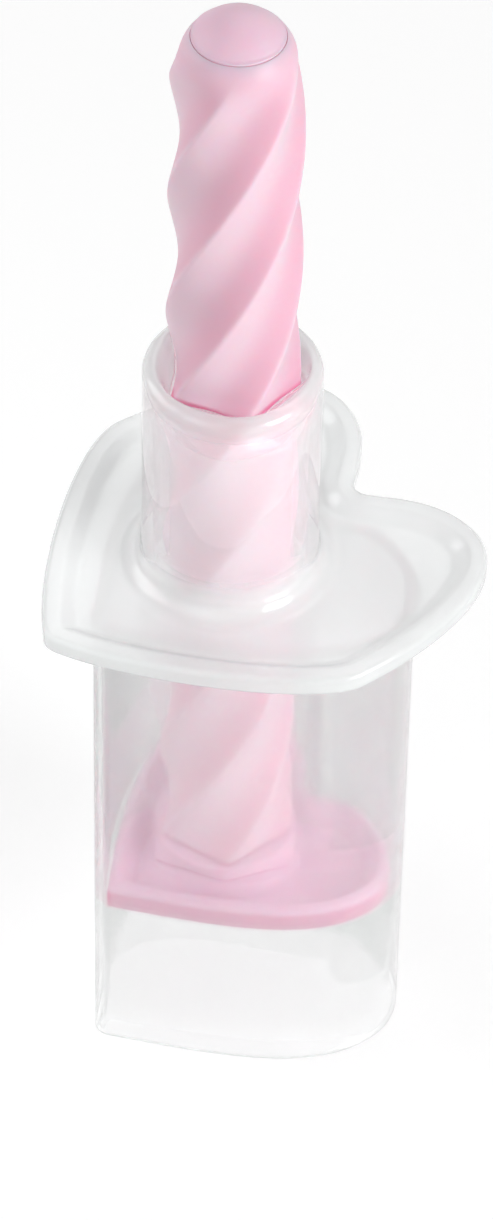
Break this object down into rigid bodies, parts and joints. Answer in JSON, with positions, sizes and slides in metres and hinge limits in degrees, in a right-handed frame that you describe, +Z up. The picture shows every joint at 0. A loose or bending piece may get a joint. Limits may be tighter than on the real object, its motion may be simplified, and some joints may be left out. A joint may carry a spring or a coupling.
{
  "type": "ice cream sandwich maker",
  "caption": "Heart-shaped cutter with a clear sleeve, tray and collar, and a twisted handle that screws down through the collar to press a heart-shaped plate along the sleeve.",
  "frame": {"origin": "on the axis of the collar and handle, in the plane of the cutting edge", "axes": "+Z up along the handle, -Y towards the tip of the heart, +X towards one lobe's side"},
  "size_m": [0.096, 0.0968, 0.2896],
  "materials": {
    "clear_plastic": "translucent, milky, softly polished",
    "pink_plastic": "soft gloss",
    "pink_cap": "soft gloss, a little more lilac than the handle",
    "stainless_steel": "satin"
  },
  "bodies": {
    "cutter": {"cutter_body": "clear_plastic"},
    "plunger": {"pusher_plate": "pink_plastic", "retaining_washer": "stainless_steel", "retaining_screw": "stainless_steel"},
    "handle": {"twist_handle": "pink_plastic", "end_cap": "pink_cap"}
  },
  "joints": [
    {"name": "plunger_slide", "type": "slide", "parent": "cutter", "child": "plunger", "axis": [0, 0, 1], "range_m": [-0.042, 0.084]},
    {"name": "handle_twist", "type": "hinge", "parent": "plunger", "child": "handle", "pos_m": [0, 0, 0.0533], "axis": [0, 0, 1], "range_deg": [-91.7, 183.3]}
  ],
  "couplings": [
    {"joint": "handle_twist", "follows": "plunger_slide", "rad_per_m": 38.08}
  ]
}
